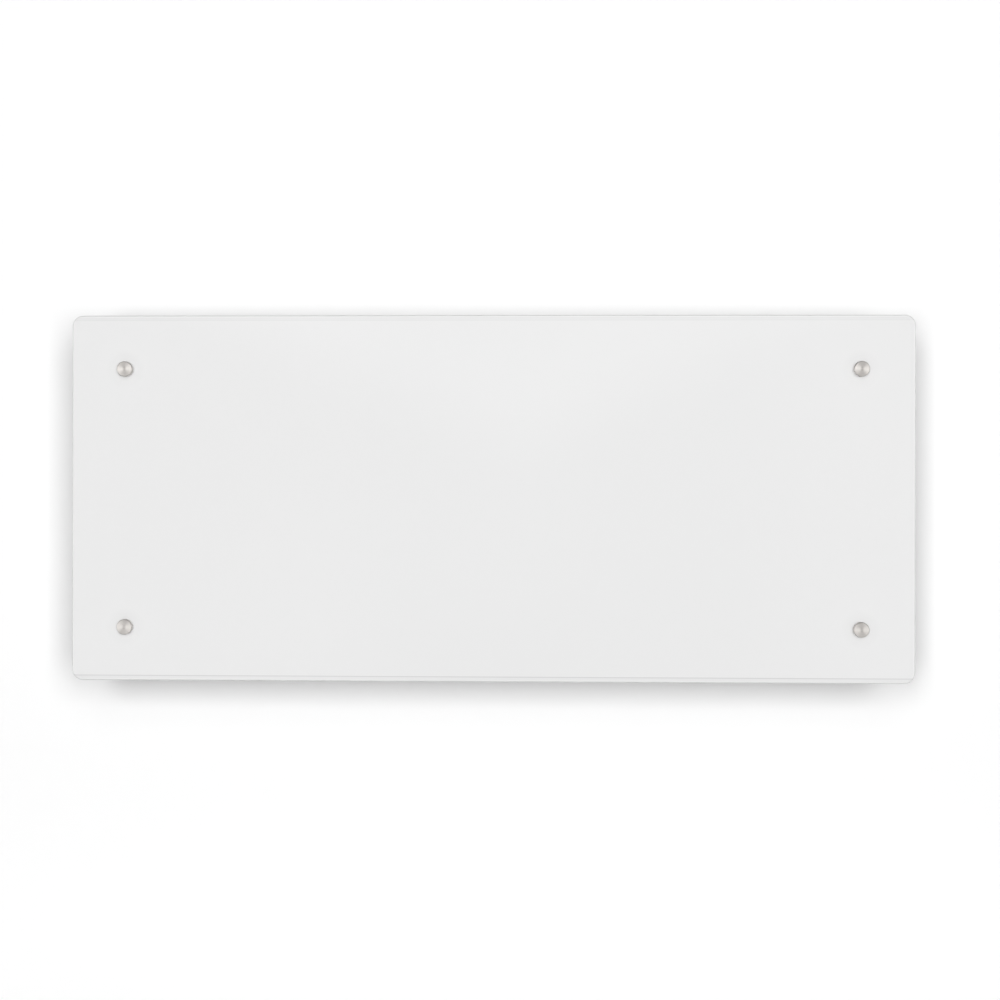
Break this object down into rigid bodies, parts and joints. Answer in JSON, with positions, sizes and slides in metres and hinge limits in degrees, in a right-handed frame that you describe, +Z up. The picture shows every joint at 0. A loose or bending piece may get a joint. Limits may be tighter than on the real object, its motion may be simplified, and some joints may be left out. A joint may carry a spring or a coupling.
{
  "type": "glass panel heater",
  "caption": "Wall-hung convector heater with a frameless opaque glass front held by corner caps, a slim folded steel casing, side controls and a hook-on bracket it tilts out from.",
  "frame": {"origin": "centre of the four wall screws on the wall plane", "axes": "+Z up, +X towards the viewer's right, +Y out of the back into the wall; the glass faces -Y"},
  "size_m": [0.782, 0.088, 0.34],
  "materials": {
    "white_glass": "opaque white, back painted, polished edges",
    "brushed_cap": "circular brushed",
    "white_powder_coat": "fine powder coat",
    "galvanised_sheet": "galvanised, dull",
    "zinc_steel": "zinc plated",
    "turned_aluminium": "turned",
    "shield_aluminium": "mill finish",
    "element_aluminium": "extruded",
    "element_steel": "satin",
    "white_ceramic": "unglazed",
    "black_rubber": "matt",
    "red_silicone": "matt",
    "clear_silicone": "matt",
    "white_nylon": "moulded",
    "grey_fascia": "fine texture",
    "pale_keys": "satin",
    "smoked_window": "smoked, polished",
    "black_plastic": "moulded",
    "housing_plastic": "moulded",
    "green_board": "solder mask",
    "relay_blue": "moulded",
    "connector_cream": "moulded",
    "radio_can": "tinned",
    "cutout_body": "moulded",
    "tinned_brass": "plain",
    "wire_insulation": "glass-fibre sleeve",
    "earth_insulation": "smooth",
    "sensor_black": "smooth"
  },
  "bodies": {
    "wall_mount": {"wall_bracket": "galvanised_sheet", "hinge_pins": "zinc_steel", "wall_rests": "black_rubber"},
    "heater": {"backing_washers": "clear_silicone", "board_connector": "connector_cream", "board_screws": "zinc_steel", "clinch_nuts": "zinc_steel", "control_board": "green_board", "control_fascia": "grey_fascia", "control_housing": "housing_plastic", "cord_inlet": "black_plastic", "cover_rivets": "turned_aluminium", "cutout_arm": "galvanised_sheet", "display_module": "black_plastic", "display_window": "smoked_window", "earth_lead": "earth_insulation", "earth_stud": "tinned_brass", "element_brackets": "galvanised_sheet", "element_bushes": "red_silicone", "element_insulator": "white_ceramic", "element_pins": "element_steel", "element_rod": "element_steel", "element_wires": "wire_insulation", "front_casing": "white_powder_coat", "front_glass": "white_glass", "glass_bushes": "white_nylon", "glass_screws": "zinc_steel", "hanger_hooks": "galvanised_sheet", "heat_shield": "shield_aluminium", "heating_element": "element_aluminium", "hook_rivets": "zinc_steel", "inlet_grille": "white_powder_coat", "inlet_screws": "zinc_steel", "outlet_grille": "white_powder_coat", "partition_plate": "galvanised_sheet", "power_capacitor": "black_plastic", "radio_module": "radio_can", "rear_cover": "white_powder_coat", "relay": "relay_blue", "rim_screws": "zinc_steel", "rocker_switch_body": "black_plastic", "room_sensor": "sensor_black", "screw_cap_bottom_left": "brushed_cap", "screw_cap_bottom_right": "brushed_cap", "screw_cap_top_left": "brushed_cap", "screw_cap_top_right": "brushed_cap", "sensor_holder": "white_nylon", "standoffs": "turned_aluminium", "supply_wires": "wire_insulation", "switch_tabs": "tinned_brass", "tact_switches": "black_plastic", "terminal_block": "connector_cream", "thermal_cutout": "cutout_body", "wire_grommet": "black_rubber"},
    "left_lock": {"hook_lock_left": "galvanised_sheet"},
    "right_lock": {"hook_lock_right": "galvanised_sheet"},
    "rocker": {"power_rocker": "black_plastic"},
    "plus_key": {"plus_button": "pale_keys"},
    "minus_key": {"minus_button": "pale_keys"},
    "mode_key": {"mode_button": "pale_keys"}
  },
  "joints": [
    {"name": "heater_tilt", "type": "hinge", "parent": "wall_mount", "child": "heater", "pos_m": [0, -0.011, 0.094], "axis": [-1, 0, 0], "range_deg": [0, 25]},
    {"name": "left_lock_swing", "type": "hinge", "parent": "heater", "child": "left_lock", "pos_m": [-0.19745, -0.018, 0.0858], "axis": [-1, 0, 0], "range_deg": [0, 90]},
    {"name": "right_lock_swing", "type": "hinge", "parent": "heater", "child": "right_lock", "pos_m": [0.19745, -0.018, 0.0858], "axis": [-1, 0, 0], "range_deg": [0, 90]},
    {"name": "rocker_tilt", "type": "hinge", "parent": "heater", "child": "rocker", "pos_m": [0.3635, -0.047, -0.03817], "axis": [0, -1, 0], "range_deg": [0, 20]},
    {"name": "plus_press", "type": "slide", "parent": "heater", "child": "plus_key", "axis": [-1, 0, 0], "range_m": [0, 0.0008], "stiffness_N_per_m": 1500},
    {"name": "minus_press", "type": "slide", "parent": "heater", "child": "minus_key", "axis": [-1, 0, 0], "range_m": [0, 0.0008], "stiffness_N_per_m": 1500},
    {"name": "mode_press", "type": "slide", "parent": "heater", "child": "mode_key", "axis": [-1, 0, 0], "range_m": [0, 0.0008], "stiffness_N_per_m": 1500}
  ]
}
